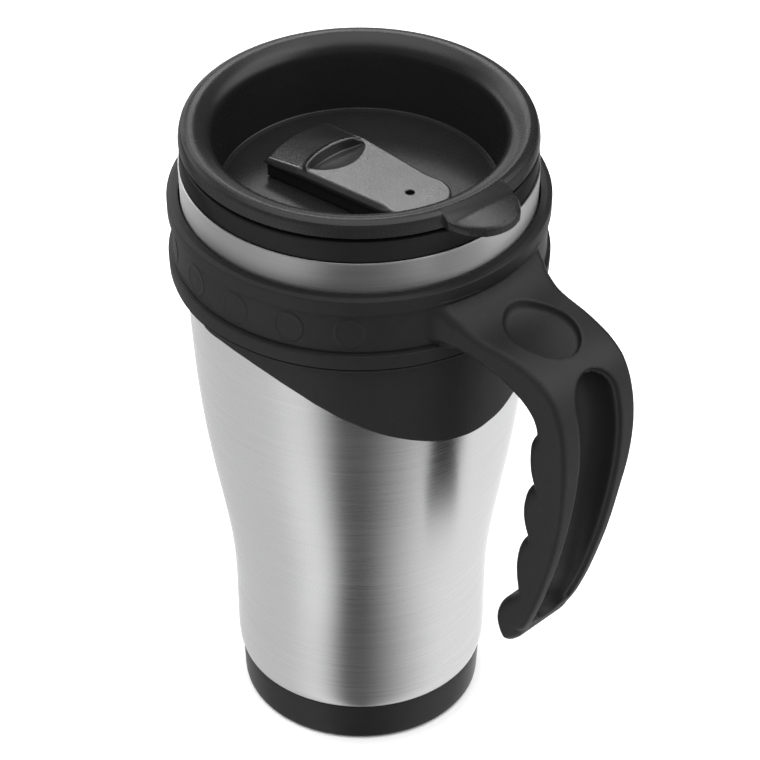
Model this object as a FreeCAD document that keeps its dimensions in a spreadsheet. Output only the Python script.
import FreeCAD, Part
import os
import Sketcher

# Insulated travel mug: a flared steel jacket over a plastic liner, a plug-in base, a moulded collar
# with a finger-grip handle, and a press-on lid whose thumb slide uncovers the drinking hole.
# Millimetres.  Origin: centre of the underside.  +Z up, +X towards the handle.

V = FreeCAD.Vector
Z_AXIS = V(0, 0, 1)
SIDE, ACROSS, PLAN = "XZ_Plane", "YZ_Plane", "XY_Plane"
doc = FreeCAD.newDocument("travel_mug")

# ------------------------------------------------------------------ driving dimensions
DIMS = dict(
    # jacket
    jacket_wall=0.5, jacket_bottom_z=11.3, jacket_top_z=157.3,
    jacket_bottom_radius=30.5, jacket_top_radius=42.4,
    # base
    base_bottom_radius=29.84, base_top_radius=30.4, base_edge_round=1.2, base_floor=2.2,
    base_spigot_radius=29.85, base_spigot_bore=27.9, base_spigot_z=16.6,
    base_rib_outer=13.5, base_rib_inner=12.0, base_rib_z=17.95,
    base_groove_inner=23.6, base_groove_outer=25.2, base_groove_depth=0.8,
    # liner
    liner_wall=1.6, liner_floor_z=18.0, liner_floor_thick=1.9,
    liner_floor_radius=24.0, liner_heel_radius=28.5,
    liner_mouth_radius=39.4, liner_mouth_z=146.0, liner_flange_radius=42.08,
    liner_flange_z=157.35, liner_top_z=162.85,
    # collar ring, its apron and the studs on its band
    collar_clear=0.08, collar_top_z=149.2, collar_bottom_z=129.1,
    collar_flange_radius=45.4, collar_band_radius=44.5, collar_lip_radius=45.4,
    collar_band_top_z=144.7, collar_band_bottom_z=133.7,
    apron_thick=1.5, apron_low_z=100.6, apron_foot_z=99.5,
    stud_half_high=4.15, stud_half_wide=3.7, stud_rise=0.28, stud_first_deg=48.0,
    stud_pitch_deg=18.5,
    # handle
    grip_arm_half=13.9, grip_bend_half=12.6, grip_low_half=10.3, grip_trough_half=7.0,
    grip_dish_length=21.0, grip_dish_width=15.4, grip_dish_x=59.5, grip_dish_floor_z=136.6,
    grip_root_trim=42.2, root_low_z=133.7, root_high=7.2,
    # lid
    lid_floor_z=149.0, lid_floor_thick=2.0, lid_well_floor_radius=33.3, lid_well_lip_radius=34.3,
    lid_rim_radius=42.2, lid_rim_low_z=164.05, lid_crest_z=167.85, lid_seat_z=162.9,
    lid_groove_inner=39.3, lid_groove_outer=40.6,
    lid_plug_radius=36.5, lid_plug_low_z=145.0,
    lid_land_radius=38.9, lid_land_low_z=152.8, lid_land_top_z=158.9,
    gasket_low_z=154.0, gasket_top_z=157.5, gasket_seat_radius=37.3,
    gasket_lip_radius=39.34, gasket_waist_radius=38.5,
    lid_tab_root=39.8, lid_tab_tip=51.8, lid_tab_half=9.8, lid_tab_thick=2.6,
    lid_tab_top_z=166.65, lid_turn_deg=2.7, lid_tab_turn_deg=-8.0,
    lid_track_half=6.8, lid_track_z=151.5, lid_track_left=21.6, lid_track_right=16.0,
    drink_hole_left=20.6, drink_hole_right=14.9, drink_hole_half=5.2,
    post_slot_left=2.8, post_slot_right=10.8, post_slot_half=2.0,
    lid_vent_x=22.5, vent_radius=1.0,
    # slide
    slider_top_z=155.0, slider_plate=2.2, slider_low_z=149.3,
    slider_left=22.5, slider_right=24.5, slider_half=10.15, slider_taper=0.0745,
    slider_guide_half=6.9, slider_vent_x=15.2, slider_end_block=4.0,
    slider_post_long=5.0, slider_post_wide=3.6, slider_post_low_z=144.4,
    snap_head_reach=0.5, snap_head_high=0.8,
    thumb_ridge_high=1.3, thumb_scoop_depth=1.4,
    # seal and clip
    seal_low_z=151.58, seal_top_z=152.75, seal_half=6.65, seal_left=20.9, seal_right=14.0,
    clip_top_z=146.85, clip_low_z=145.3, clip_long=22.0, clip_wide=11.0,
)

CUT_START = 1.0     # height above a face at which a downward cut starts
TRACK_CUT = 8.0     # depth of the cuts through the lid's track and floor
PLATE_CUT = 4.0     # depth of the vent cuts

# ------------------------------------------------------------------ measured outlines
# Outside of the jacket between its two ends, as (z, radius): a straight lower barrel, an S-curve
# and a gentle flare to the mouth.
JACKET = [
    (12.6, 30.95), (15.0, 31.3), (20.0, 31.42), (26.0, 31.48), (32.0, 31.58), (37.0, 31.75),
    (42.0, 32.075), (47.0, 32.58), (52.0, 33.245), (57.0, 34.04), (62.0, 34.9), (68.0, 35.94),
    (74.0, 36.935), (80.0, 37.83), (86.0, 38.62), (92.0, 39.28), (98.0, 39.83), (104.0, 40.28),
    (112.0, 40.78), (120.0, 41.18), (130.0, 41.58), (140.0, 41.9), (150.0, 42.18),
]
# Outside of the liner between its heel and its mouth, as (z, radius).
LINER = [
    (30.0, 28.88), (35.0, 29.0), (42.0, 29.4), (48.6, 30.15), (55.0, 31.1), (62.0, 32.25),
    (75.0, 34.4), (87.5, 36.15), (100.0, 37.45), (112.0, 38.5), (120.0, 39.15), (130.0, 39.85),
    (140.0, 40.45),
]
# Swept lower edge of the apron, as (x, z), from under the handle round to the far side.
APRON_EDGE = [
    (41.9, 100.85), (40.1, 102.2), (37.5, 104.45), (34.3, 107.05), (30.7, 109.85), (26.6, 112.9),
    (22.0, 116.15), (17.0, 119.15), (11.4, 121.9), (4.8, 123.85), (-2.6, 125.05),
]
# Top of the handle's arm and the outer side of the grip, as (x, z), downwards.
GRIP_OUTER = [
    (40.5, 145.6), (44.5, 143.2), (48.0, 140.9), (52.0, 139.3), (58.0, 138.6), (64.0, 137.6),
    (69.2, 135.6), (73.2, 132.4), (75.7, 128.0), (77.2, 122.5), (77.8, 116.5), (77.7, 110.0),
    (77.0, 103.0), (75.8, 95.5), (74.3, 88.0), (72.5, 80.5), (70.3, 73.0), (67.8, 65.3),
]
# The four finger swells on the mug's side of the grip, as (x, z), lowest swell first, upwards.
FINGER_SWELLS = [
    [(55.5, 50.8), (54.6, 54.2), (55.1, 57.6), (57.0, 61.2), (60.0, 64.4)],
    [(61.6, 66.8), (61.0, 70.8), (60.8, 75.6), (61.4, 80.1), (62.6, 83.3)],
    [(64.3, 85.6), (63.1, 89.0), (62.5, 93.2), (63.0, 97.2), (64.2, 100.2)],
    [(66.1, 102.2), (65.4, 104.6), (64.9, 108.4), (65.1, 112.6), (65.9, 116.3), (67.1, 118.6)],
]
# Underside of the bend and the arm, as (x, z), from the top swell in towards the mug.
ARM_UNDERSIDE = [
    (67.3, 119.6), (66.6, 122.6), (64.6, 125.3), (60.2, 128.2), (54.4, 130.7), (48.6, 132.4),
]
# Floor of the trough in the grip's outer side, as (x, z), downwards.
TROUGH_FLOOR = [
    (75.0, 132.3), (71.8, 130.4), (70.5, 126.4), (70.0, 120.0), (69.6, 112.0), (69.0, 104.0),
    (68.1, 95.0), (67.0, 86.0), (65.8, 78.0), (64.6, 70.0), (62.9, 62.0),
]

dims = doc.addObject("Spreadsheet::Sheet", "Dims")
for row, (name, value) in enumerate(DIMS.items(), start=1):
    dims.set("A%d" % row, name)
    dims.set("B%d" % row, str(value))
    dims.setAlias("B%d" % row, name)
doc.recompute()


# ------------------------------------------------------------------ coordinates
# A coordinate or length is a number, an alias, (alias, offset) or (alias, offset, factor).
# The alias stays bound to its cell; the offset is a plain number.
def dim(name):
    return float(dims.get(name))


def neg(alias, offset=0.0):
    return (alias, offset, -1)


def parts_of(coord):
    """Alias, offset and factor of a coordinate that names an alias."""
    if isinstance(coord, str):
        return coord, 0.0, 1
    return coord if len(coord) > 2 else (*coord, 1)


def num(coord):
    if not isinstance(coord, (str, tuple)):
        return float(coord)
    alias, offset, factor = parts_of(coord)
    return factor * dim(alias) + offset


def bind(target, prop, coord, flip=False):
    """Tie a property to the sheet when its coordinate names an alias."""
    if isinstance(coord, (str, tuple)):
        alias, offset, factor = parts_of(coord)
        sign = -1 if flip else 1
        target.setExpression(prop, "%d * Dims.%s + %.5f" % (sign * factor, alias, sign * offset))


# ------------------------------------------------------------------ sketches
def pin_point(sketch, geo, pos, x, y):
    """Hold one sketch point at (x, y)."""
    for kind, coord, zero_axis in (("DistanceX", x, -2), ("DistanceY", y, -1)):
        value = num(coord)
        if abs(value) < 1e-7:
            sketch.addConstraint(Sketcher.Constraint("PointOnObject", geo, pos, zero_axis))
            continue
        # a distance has to be positive, so a negative one is measured towards the origin
        ends = (-1, 1, geo, pos) if value > 0 else (geo, pos, -1, 1)
        index = sketch.addConstraint(Sketcher.Constraint(kind, *ends, abs(value)))
        bind(sketch, "Constraints[%d]" % index, coord, flip=value < 0)


def closed_profile(sketch, verts):
    """verts: (x, y) or (x, y, [via points]); via points curve the run to the next vertex."""
    count = len(verts)
    points = [(num(vert[0]), num(vert[1])) for vert in verts]
    ids = []
    for i, vert in enumerate(verts):
        start = V(*points[i], 0)
        end = V(*points[(i + 1) % count], 0)
        if len(vert) > 2:
            edge = Part.BSplineCurve()
            edge.interpolate([start] + [V(num(x), num(y), 0) for x, y in vert[2]] + [end])
        else:
            edge = Part.LineSegment(start, end)
        ids.append(sketch.addGeometry(edge, False))
    for i in range(count):
        sketch.addConstraint(Sketcher.Constraint("Coincident", ids[i], 2, ids[(i + 1) % count], 1))
    for geo, vert in zip(ids, verts):
        pin_point(sketch, geo, 1, vert[0], vert[1])


def curve(points):
    """A vertex at the first point, with the rest as via points."""
    (x, y), *via = points
    return (x, y, via)


def rectangle(half_x, half_y):
    return [(-half_x, -half_y), (half_x, -half_y), (half_x, half_y), (-half_x, half_y)]


def nosed_strip(left, right, half):
    """A strip along X, square at +X and rounded at -X."""
    return [
        (neg(left, 1.6), neg(half)),
        (right, neg(half)),
        (right, half),
        (neg(left, 1.6), half, [(neg(left, 0.4), 4.4)]),
        (neg(left), 0, [(neg(left, 0.4), -4.4)]),
    ]


def post_outline(margin_x=0.0, margin_y=0.0):
    """The slide's post seen from above, grown by a margin on each side."""
    return rectangle(dim("slider_post_long") / 2 + margin_x,
                     dim("slider_post_wide") / 2 + margin_y)


# ------------------------------------------------------------------ features
def new_body(name):
    body = doc.addObject("PartDesign::Body", name)
    body.Label = name
    return body


def new_sketch(body, name, role, *outlines, offset=None):
    sketch = body.newObject("Sketcher::SketchObject", name)
    base_plane = next(f for f in body.Origin.OriginFeatures if f.Role == role)
    sketch.AttachmentSupport = [(base_plane, "")]
    sketch.MapMode = "FlatFace"
    if offset is not None:
        sketch.AttachmentOffset = FreeCAD.Placement(V(0, 0, num(offset)), FreeCAD.Rotation())
        bind(sketch, "AttachmentOffset.Base.z", offset)
    for outline in outlines:
        closed_profile(sketch, outline)
    return sketch


def revolve(body, sketch_name, name, outline):
    """Turn a (radius, z) outline about Z."""
    sketch = new_sketch(body, sketch_name, SIDE, outline)
    feature = body.newObject("PartDesign::Revolution", name)
    feature.Profile = sketch
    feature.ReferenceAxis = (sketch, ["V_Axis"])
    feature.Angle = 360.0
    body.Tip = feature
    doc.recompute()


def pad(body, sketch, name, length, mid=False):
    feature = body.newObject("PartDesign::Pad", name)
    feature.Profile = sketch
    feature.Length = num(length)
    bind(feature, "Length", length)
    feature.Midplane = mid
    body.Tip = feature
    doc.recompute()


def pocket(body, sketch, name, length=None, mid=False, reverse=False):
    """Cut to a length, or through everything when there is none."""
    before = body.Shape.Volume
    feature = body.newObject("PartDesign::Pocket", name)
    feature.Profile = sketch
    if length is None:
        feature.Type = 1
    else:
        feature.Length = num(length)
        bind(feature, "Length", length)
    feature.Midplane = mid
    feature.Reversed = reverse
    body.Tip = feature
    doc.recompute()
    if not feature.Shape.Volume < before - 0.01:
        raise RuntimeError("pocket %s cut nothing" % name)


def drill_vent(body, sketch_name, name, x, face_z):
    sketch = new_sketch(body, sketch_name, PLAN, offset=(face_z, CUT_START))
    radius = dim("vent_radius")
    geo = sketch.addGeometry(Part.Circle(V(dim(x), 0, 0), Z_AXIS, radius), False)
    pin_point(sketch, geo, 3, x, 0)
    index = sketch.addConstraint(Sketcher.Constraint("Radius", geo, radius))
    bind(sketch, "Constraints[%d]" % index, "vent_radius")
    pocket(body, sketch, name, PLATE_CUT)


# ------------------------------------------------------------------ steel jacket
def jacket_radius(height):
    """Outside radius of the jacket, straight between its stations."""
    for (z0, r0), (z1, r1) in zip(JACKET, JACKET[1:]):
        if z0 <= height <= z1:
            return r0 + (r1 - r0) * (height - z0) / (z1 - z0)
    raise ValueError("no jacket station at z %g" % height)


def build_outer_shell():
    body = new_body("outer_shell")
    wall = dim("jacket_wall")
    revolve(body, "jacket_profile", "jacket", [
        ("jacket_bottom_radius", "jacket_bottom_z", [(r, z) for z, r in JACKET]),
        ("jacket_top_radius", "jacket_top_z"),
        (("jacket_top_radius", -wall), "jacket_top_z", [(r - wall, z) for z, r in JACKET[::-1]]),
        (("jacket_bottom_radius", -wall), "jacket_bottom_z"),
    ])
    return body


# ------------------------------------------------------------------ base
def build_base_cap():
    """Base with a groove underneath, a spigot inside the jacket and a round rib on its floor."""
    body = new_body("base_cap")
    revolve(body, "base_profile", "base", [
        (0, 0),
        ("base_groove_inner", 0),
        ("base_groove_inner", "base_groove_depth"),
        ("base_groove_outer", "base_groove_depth"),
        ("base_groove_outer", 0),
        # rounded bottom edge
        (("base_bottom_radius", -dim("base_edge_round")), 0,
         [(("base_bottom_radius", -0.35), 0.38)]),
        (("base_bottom_radius", 0.06), "base_edge_round"),
        # shoulder just below the jacket
        ("base_top_radius", ("jacket_bottom_z", -0.4)),
        (("base_top_radius", -0.25), ("jacket_bottom_z", -0.06)),
        # spigot
        ("base_spigot_radius", ("jacket_bottom_z", -0.06)),
        ("base_spigot_radius", ("base_spigot_z", -0.6)),
        (("base_spigot_radius", -0.6), "base_spigot_z"),
        ("base_spigot_bore", "base_spigot_z"),
        ("base_spigot_bore", "base_floor"),
        # rib
        ("base_rib_outer", "base_floor"),
        ("base_rib_outer", "base_rib_z"),
        ("base_rib_inner", "base_rib_z"),
        ("base_rib_inner", "base_floor"),
        (0, "base_floor"),
    ])
    return body


# ------------------------------------------------------------------ liner
def build_inner_liner():
    body = new_body("inner_liner")
    wall = dim("liner_wall")
    floor_thick = dim("liner_floor_thick")
    revolve(body, "liner_profile", "liner", [
        # underside and outer wall
        (0, "liner_floor_z"),
        ("liner_floor_radius", "liner_floor_z",
         [(26.6, ("liner_floor_z", 0.75)), (28.0, ("liner_floor_z", 2.3))]),
        ("liner_heel_radius", ("liner_floor_z", 4.6), [(r, z) for z, r in LINER]),
        (("liner_mouth_radius", wall), "liner_mouth_z"),
        # flange over the jacket's edge
        (("liner_mouth_radius", wall), "liner_flange_z"),
        ("liner_flange_radius", "liner_flange_z"),
        ("liner_flange_radius", ("liner_top_z", -0.5)),
        (("liner_flange_radius", -0.5), "liner_top_z"),
        (("liner_mouth_radius", 0.4), "liner_top_z"),
        ("liner_mouth_radius", ("liner_top_z", -0.4)),
        # inner wall and floor
        ("liner_mouth_radius", "liner_mouth_z", [(r - wall, z) for z, r in LINER[::-1]]),
        (("liner_heel_radius", -wall), ("liner_floor_z", 5.2),
         [(26.0, ("liner_floor_z", 3.4)), (24.9, ("liner_floor_z", 2.3))]),
        (("liner_floor_radius", -0.8), ("liner_floor_z", floor_thick)),
        (0, ("liner_floor_z", floor_thick)),
    ])
    return body


# ------------------------------------------------------------------ collar ring with its apron
def snug(z):
    """Radius that just clears the jacket."""
    return jacket_radius(z) + dim("collar_clear")


def build_collar_ring():
    body = new_body("collar_ring")
    bottom_radius = snug(dim("collar_bottom_z"))
    revolve(body, "collar_profile", "ring", [
        (bottom_radius, "collar_bottom_z"),
        # lip below the recessed band
        (("collar_lip_radius", -0.3), "collar_bottom_z"),
        ("collar_lip_radius", ("collar_bottom_z", 0.4)),
        ("collar_lip_radius", ("collar_band_bottom_z", -0.5)),
        (("collar_band_radius", 0.05), ("collar_band_bottom_z", -0.2)),
        # fine groove, then the band
        (("collar_band_radius", -0.55), ("collar_band_bottom_z", -0.1)),
        (("collar_band_radius", -0.55), ("collar_band_bottom_z", 0.3)),
        ("collar_band_radius", ("collar_band_bottom_z", 0.5)),
        ("collar_band_radius", ("collar_band_top_z", -0.2)),
        # flange above the band
        ("collar_flange_radius", ("collar_band_top_z", 0.3)),
        ("collar_flange_radius", ("collar_top_z", -1.2)),
        (("collar_flange_radius", -0.9), ("collar_top_z", -0.35)),
        (43.6, "collar_top_z"),
        (snug(dim("collar_top_z")), "collar_top_z"),
    ])

    # Apron: a thin skirt under the ring, trimmed to a swept edge that is deepest under the handle.
    thick = dim("apron_thick")
    foot_radius = snug(dim("apron_foot_z"))
    revolve(body, "apron_profile", "apron", [
        (foot_radius, "apron_foot_z", [(snug(z), z) for z in (106.0, 112.0, 121.0)]),
        (bottom_radius, "collar_bottom_z"),
        (bottom_radius + 0.6, ("collar_bottom_z", 1.2)),
        (bottom_radius + thick, ("collar_bottom_z", 1.2),
         [(snug(z) + thick, z) for z in (126.0, 121.0, 112.0, 106.0)]),
        (foot_radius + thick, "apron_foot_z"),
    ])
    sketch = new_sketch(body, "apron_edge", SIDE, [
        (46.0, "apron_low_z"),
        (43.6, "apron_low_z", APRON_EDGE),
        (-9.5, 125.2, [(-10.1, 125.45)]),
        (-10.3, 126.1),
        (-10.3, "collar_bottom_z"),
        (-50.0, "collar_bottom_z"),
        (-50.0, 90.0),
        (46.0, 90.0),
    ])
    pocket(body, sketch, "apron_trim", mid=True)
    return body


def build_band_pads():
    """Raised oval studs round the recessed band: six each side of the handle."""
    band_middle_z = (dim("collar_band_top_z") + dim("collar_band_bottom_z")) / 2
    angles = [dim("stud_first_deg") + dim("stud_pitch_deg") * i for i in range(6)]
    bars = []
    for angle in [-a for a in reversed(angles)] + angles:
        oval = Part.Ellipse(V(0, 0, 0), dim("stud_half_high"), dim("stud_half_wide")).toShape()
        face = Part.Face(Part.Wire([oval]))
        face.rotate(V(0, 0, 0), V(0, 1, 0), 90)
        face.translate(V(0, 0, band_middle_z + 0.1))
        bar = face.extrude(V(60, 0, 0))
        bar.rotate(V(0, 0, 0), Z_AXIS, angle)
        bars.append(bar)
    # the radial bars are kept only inside a thin tube at the band's surface
    tube_high, tube_foot = 10.0, V(0, 0, 134.0)
    band_radius = dim("collar_band_radius")
    tube = Part.makeCylinder(band_radius + dim("stud_rise"), tube_high, tube_foot).cut(
        Part.makeCylinder(band_radius - 0.6, tube_high, tube_foot))
    pads = doc.addObject("Part::Feature", "band_pads")
    pads.Shape = Part.makeCompound(bars).common(tube)
    return pads


# ------------------------------------------------------------------ handle
def build_grip():
    """A level arm, a round bend, and a grip with four finger swells on the mug's side."""
    body = new_body("grip")
    sketch = new_sketch(body, "grip_outline", SIDE, [
        curve(GRIP_OUTER),
        (64.9, 58.0, [(63.1, 54.2), (61.3, 51.0)]),
        (59.3, 48.9, [(58.0, 48.4), (56.6, 49.0)]),
        *[curve(swell) for swell in FINGER_SWELLS],
        curve(ARM_UNDERSIDE),
        (40.5, 133.2),
    ])
    pad(body, sketch, "grip_blank", ("grip_arm_half", 0.0, 2), mid=True)

    # Sides: full width over the arm, drawn in to the narrower grip below the bend.
    low, bend, arm = dim("grip_low_half"), dim("grip_bend_half"), dim("grip_arm_half")
    side_curve = [(low - 0.5, 50.0), (low, 62.0), (low, 80.0), (low + 0.4, 92.0),
                  (low + 1.3, 102.0), (bend - 0.4, 113.0), (bend, 124.0), (bend + 0.25, 131.0)]
    sketch = new_sketch(body, "grip_side_trim", ACROSS, *[[
        (side * 20.0, 40.0),
        (side * (low - 1.2), 40.0, [(side * y, z) for y, z in side_curve]),
        (side * (arm - 0.1), 136.8),
        (side * 20.0, 136.8),
    ] for side in (1, -1)])
    pocket(body, sketch, "grip_sides", mid=True)

    # Trough down the outer side of the grip.
    sketch = new_sketch(body, "trough_profile", SIDE, [
        (90.0, 131.6),
        curve(TROUGH_FLOOR),
        (61.2, 56.2),
        (64.0, 53.4),
        (70.0, 50.0),
        (90.0, 50.0),
    ])
    pocket(body, sketch, "trough", ("grip_trough_half", 0.0, 2), mid=True)

    # Thumb dish on top of the arm, cut upwards from its flat floor.
    sketch = new_sketch(body, "dish_outline", PLAN, offset="grip_dish_floor_z")
    sketch.addGeometry(Part.Ellipse(V(dim("grip_dish_x"), 0, 0), dim("grip_dish_length") / 2,
                                    dim("grip_dish_width") / 2))
    pocket(body, sketch, "thumb_dish", 10.0, reverse=True)
    return body


def build_handle_root():
    """Flared block where the arm meets the collar."""
    body = new_body("handle_root")
    sketch = new_sketch(body, "root_plan", PLAN, [
        (38.0, -17.0),
        (41.2, -17.0, [(45.2, -14.6)]),
        (50.5, -13.2),
        (50.5, 13.2, [(45.2, 14.6)]),
        (41.2, 17.0),
        (38.0, 17.0),
    ], offset="root_low_z")
    pad(body, sketch, "root_block", "root_high")
    return body


def trimmed(body, name):
    """Cut away what reaches inside the collar."""
    core = doc.addObject("Part::Cylinder", name + "_trim_core")
    core.Height = 30.0
    bind(core, "Radius", "grip_root_trim")
    core.Placement = FreeCAD.Placement(V(0, 0, 125.0), FreeCAD.Rotation())
    cut = doc.addObject("Part::Cut", name + "_trimmed")
    cut.Base = body
    cut.Tool = core
    return cut


def build_handle_collar():
    fuse = doc.addObject("Part::MultiFuse", "handle_collar")
    fuse.Label = "handle_collar"
    fuse.Shapes = [
        build_collar_ring(),
        build_band_pads(),
        trimmed(build_grip(), "grip"),
        trimmed(build_handle_root(), "root"),
    ]
    fuse.Refine = False
    doc.recompute()
    return fuse


# ------------------------------------------------------------------ lid
def build_lid_shell(body):
    floor_underside = ("lid_floor_z", -dim("lid_floor_thick"))
    revolve(body, "lid_profile", "lid_shell", [
        # underside of the floor and the plug's skirt
        (0, floor_underside),
        (34.4, floor_underside),
        (34.6, "lid_plug_low_z"),
        (("lid_plug_radius", -0.4), "lid_plug_low_z"),
        ("lid_plug_radius", ("lid_plug_low_z", 0.6)),
        (("lid_plug_radius", 0.3), ("lid_land_low_z", -0.4)),
        # land with the gasket's groove
        (("lid_land_radius", -0.3), ("lid_land_low_z", -0.4)),
        ("lid_land_radius", "lid_land_low_z"),
        ("lid_land_radius", "gasket_low_z"),
        ("gasket_seat_radius", "gasket_low_z"),
        ("gasket_seat_radius", "gasket_top_z"),
        ("lid_land_radius", "gasket_top_z"),
        ("lid_land_radius", "lid_land_top_z"),
        # hollow under the rim, and the step that sits over the liner's edge
        (37.6, "lid_land_top_z"),
        (37.8, 164.7),
        ("lid_groove_inner", 164.8),
        ("lid_groove_inner", "lid_seat_z"),
        ("lid_groove_outer", "lid_seat_z"),
        ("lid_groove_outer", "lid_rim_low_z"),
        # rim and rounded crest
        (("lid_rim_radius", -0.2), "lid_rim_low_z"),
        ("lid_rim_radius", ("lid_rim_low_z", 0.25), [(42.1, 165.5), (41.8, 166.5)]),
        (41.45, 167.1, [(40.85, 167.55), (39.85, "lid_crest_z"), (38.75, 167.75),
                        (37.45, 167.3), (36.25, 166.7), (35.35, 166.05), (34.65, 165.05)]),
        # well
        ("lid_well_lip_radius", 163.7),
        (("lid_well_floor_radius", 0.12), ("lid_floor_z", 1.2)),
        (("lid_well_floor_radius", -1.0), "lid_floor_z"),
        (0, "lid_floor_z"),
    ])


def add_lid_tab(body):
    """Thumb tab: a short tongue on the rim over the handle, turned from the slide's line."""
    sketch = new_sketch(body, "tab_outline", PLAN, [
        ("lid_tab_root", neg("lid_tab_half")),
        (("lid_rim_radius", 0.7), neg("lid_tab_half"),
         [(45.9, -8.7), (49.15, -6.4), (51.3, -3.0)]),
        ("lid_tab_tip", 0, [(51.3, 3.0), (49.15, 6.4), (45.9, 8.7)]),
        (("lid_rim_radius", 0.7), "lid_tab_half"),
        ("lid_tab_root", "lid_tab_half"),
    ])
    sketch.AttachmentOffset = FreeCAD.Placement(
        V(0, 0, dim("lid_tab_top_z") - dim("lid_tab_thick")),
        FreeCAD.Rotation(Z_AXIS, dim("lid_tab_turn_deg")))
    sketch.setExpression("AttachmentOffset.Base.z", "Dims.lid_tab_top_z - Dims.lid_tab_thick")
    pad(body, sketch, "tab", "lid_tab_thick")


def add_lid_track(body):
    """Raised track that the slide straddles, sunk a little into the floor, and its openings."""
    sink = 0.5
    sketch = new_sketch(body, "track_plan", PLAN,
                        nosed_strip("lid_track_left", "lid_track_right", "lid_track_half"),
                        offset=("lid_floor_z", -sink))
    pad(body, sketch, "track", ("lid_track_z", sink - dim("lid_floor_z")))

    left, right, half = "drink_hole_left", "drink_hole_right", "drink_hole_half"
    cut_top = ("lid_track_z", CUT_START)
    sketch = new_sketch(body, "hole_plan", PLAN, [
        (neg(left, 1.2), neg(half)),
        (neg(right, -1.0), neg(half), [(neg(right, -0.25), neg(half, 0.6))]),
        (neg(right), neg(half, 1.6)),
        (neg(right), (half, -1.6), [(neg(right, -0.25), (half, -0.6))]),
        (neg(right, -1.0), half),
        (neg(left, 1.2), half, [(neg(left, 0.3), 2.9)]),
        (neg(left), 0, [(neg(left, 0.3), -2.9)]),
    ], offset=cut_top)
    pocket(body, sketch, "drink_hole", TRACK_CUT)

    sketch = new_sketch(body, "slot_plan", PLAN, [
        (neg("post_slot_left"), neg("post_slot_half")),
        ("post_slot_right", neg("post_slot_half")),
        ("post_slot_right", "post_slot_half"),
        (neg("post_slot_left"), "post_slot_half"),
    ], offset=cut_top)
    pocket(body, sketch, "post_slot", TRACK_CUT)


def build_lid_body():
    body = new_body("lid_body")
    build_lid_shell(body)
    add_lid_tab(body)
    add_lid_track(body)
    drill_vent(body, "vent_plan", "lid_vent", "lid_vent_x", "lid_floor_z")
    return body


def build_lid_gasket():
    """A ring with two lips, in the groove of the lid's plug."""
    body = new_body("lid_gasket")
    gap = 0.05
    seat, lip, waist = "gasket_seat_radius", "gasket_lip_radius", "gasket_waist_radius"
    revolve(body, "gasket_profile", "gasket_ring", [
        ((seat, gap), ("gasket_low_z", gap)),
        ((waist, 0.05), ("gasket_low_z", gap)),
        (lip, ("gasket_low_z", 0.55)),
        (lip, ("gasket_low_z", 0.85)),
        (waist, ("gasket_low_z", 1.25)),
        (waist, ("gasket_low_z", 2.05)),
        (lip, ("gasket_low_z", 2.45)),
        (lip, ("gasket_low_z", 2.75)),
        ((waist, 0.05), ("gasket_top_z", -gap)),
        ((seat, gap), ("gasket_top_z", -gap)),
    ])
    return body


# ------------------------------------------------------------------ slide
def slide_half(x):
    """Half width of the slide, which tapers towards +X."""
    return dim("slider_half") - dim("slider_taper") * x


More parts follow.
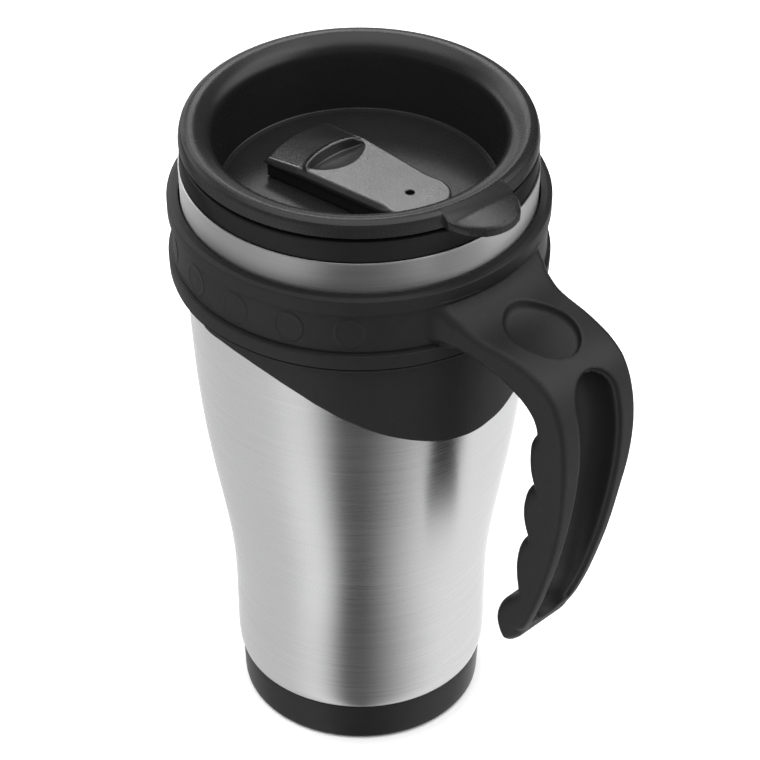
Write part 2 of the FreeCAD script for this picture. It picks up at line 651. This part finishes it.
def build_slider():
    body = new_body("slider")
    top_z, low_z = dim("slider_top_z"), dim("slider_low_z")
    skirt_high = ("slider_top_z", -low_z - 1.0)

    plate_start, plate_end = 2.2 - dim("slider_left"), 17.2
    sketch = new_sketch(body, "plate_plan", PLAN, [
        (plate_start, -slide_half(plate_start)),
        (plate_end, -slide_half(plate_end), [(21.0, -7.1), (23.6, -3.9)]),
        ("slider_right", 0, [(23.6, 3.9), (21.0, 7.1)]),
        (plate_end, slide_half(plate_end)),
        (plate_start, slide_half(plate_start), [(neg("slider_left", 0.55), 5.6)]),
        (neg("slider_left"), 0, [(neg("slider_left", 0.55), -5.6)]),
    ], offset=("slider_top_z", -dim("slider_plate")))
    pad(body, sketch, "plate", "slider_plate")

    # Skirts: the long sides reach down beside the track; their parallel inner faces guide on it.
    skirt_start, skirt_end, inset = 3.2 - dim("slider_left"), 17.0, 0.6
    sketch = new_sketch(body, "skirt_plan", PLAN, *[[
        (skirt_start, ("slider_guide_half", 0.0, side)),
        (skirt_start, side * (slide_half(skirt_start) - inset)),
        (skirt_end, side * (slide_half(skirt_end) - inset)),
        (skirt_end, ("slider_guide_half", 0.0, side)),
    ] for side in (1, -1)], offset="slider_low_z")
    pad(body, sketch, "side_skirts", skirt_high)

    block_start = ("slider_right", -dim("slider_end_block"))
    sketch = new_sketch(body, "end_plan", PLAN, [
        (block_start, -6.4),
        (21.0, -6.2, [(22.9, -4.2)]),
        (("slider_right", -0.6), 0, [(22.9, 4.2)]),
        (21.0, 6.2),
        (block_start, 6.4),
    ], offset="slider_low_z")
    pad(body, sketch, "end_block", skirt_high)

    # Post through the slot in the lid's floor, with a wider snap head below the clip.
    post_low_z = dim("slider_post_low_z")
    sketch = new_sketch(body, "post_plan", PLAN, post_outline(), offset="slider_post_low_z")
    pad(body, sketch, "post", ("slider_top_z", -post_low_z - 1.6))
    sketch = new_sketch(body, "snap_plan", PLAN, post_outline(dim("snap_head_reach")),
                        offset="slider_post_low_z")
    pad(body, sketch, "snap_head", "snap_head_high")

    # Curved thumb ridge, bowed towards -X, and the scoop on its +X side.
    sink = 0.2
    sketch = new_sketch(body, "ridge_plan", PLAN, [
        (-7.0, -9.2, [(-9.3, -5.0), (-10.1, 0.0), (-9.3, 5.0)]),
        (-7.0, 9.2),
        (-5.9, 8.6, [(-7.9, 4.7), (-8.6, 0.0), (-7.9, -4.7)]),
        (-5.9, -8.6),
    ], offset=("slider_top_z", -sink))
    pad(body, sketch, "thumb_ridge", ("thumb_ridge_high", sink))
    sketch = new_sketch(body, "scoop_plan", PLAN, [
        (-5.9, -8.0, [(-7.7, -4.4), (-8.4, 0.0), (-7.7, 4.4)]),
        (-5.9, 8.0, [(-3.2, 6.2), (-1.9, 0.0), (-3.2, -6.2)]),
    ], offset=top_z)
    bind(sketch, "AttachmentOffset.Base.z", "slider_top_z")
    pocket(body, sketch, "thumb_scoop", "thumb_scoop_depth")

    drill_vent(body, "slide_vent_plan", "slide_vent", "slider_vent_x", "slider_top_z")
    return body


def build_slider_seal():
    """Seal pad under the slide, with a hole for the post."""
    body = new_body("slider_seal")
    sketch = new_sketch(body, "seal_plan", PLAN,
                        nosed_strip("seal_left", "seal_right", "seal_half"),
                        post_outline(0.1, 0.1), offset="seal_low_z")
    pad(body, sketch, "seal_pad", ("seal_top_z", -dim("seal_low_z")))
    return body


def build_slider_clip():
    """Clip that holds the slide's post under the floor: a plate with eased corners."""
    body = new_body("slider_clip")
    end, side = dim("clip_long") / 2, dim("clip_wide") / 2
    sketch = new_sketch(body, "clip_plan", PLAN, [
        (-end + 1.5, -side),
        (end - 1.5, -side, [(end - 0.4, -side + 0.5)]),
        (end, -side + 1.6),
        (end, side - 1.6, [(end - 0.4, side - 0.5)]),
        (end - 1.5, side),
        (-end + 1.5, side, [(-end + 0.4, side - 0.5)]),
        (-end, side - 1.6),
        (-end, -side + 1.6, [(-end + 0.4, -side + 0.5)]),
    ], post_outline(0.06, 0.06), offset="clip_low_z")
    pad(body, sketch, "clip_plate", ("clip_top_z", -dim("clip_low_z")))
    return body


# ------------------------------------------------------------------ assemble and write
mug_pieces = [build_outer_shell(), build_base_cap(), build_inner_liner(), build_handle_collar()]
lid_pieces = [build_lid_body(), build_lid_gasket(), build_slider(), build_slider_seal(),
              build_slider_clip()]

# The round lid sits turned a little from the handle, with everything it carries.
for piece in lid_pieces:
    piece.Placement = FreeCAD.Placement(V(0, 0, 0), FreeCAD.Rotation(Z_AXIS, dim("lid_turn_deg")))
    piece.setExpression("Placement.Rotation.Angle", "Dims.lid_turn_deg")
doc.recompute()

for item in doc.Objects:
    bad = [state for state in item.State if state in ("Invalid", "Error")]
    if bad:
        raise RuntimeError("%s is %s" % (item.Label, bad))

os.makedirs("parts", exist_ok=True)
for piece in mug_pieces + lid_pieces:
    if piece.Shape.isNull() or not piece.Shape.isValid():
        raise RuntimeError("%s has no valid shape" % piece.Label)
    piece.Shape.exportStep("parts/%s.step" % piece.Label)
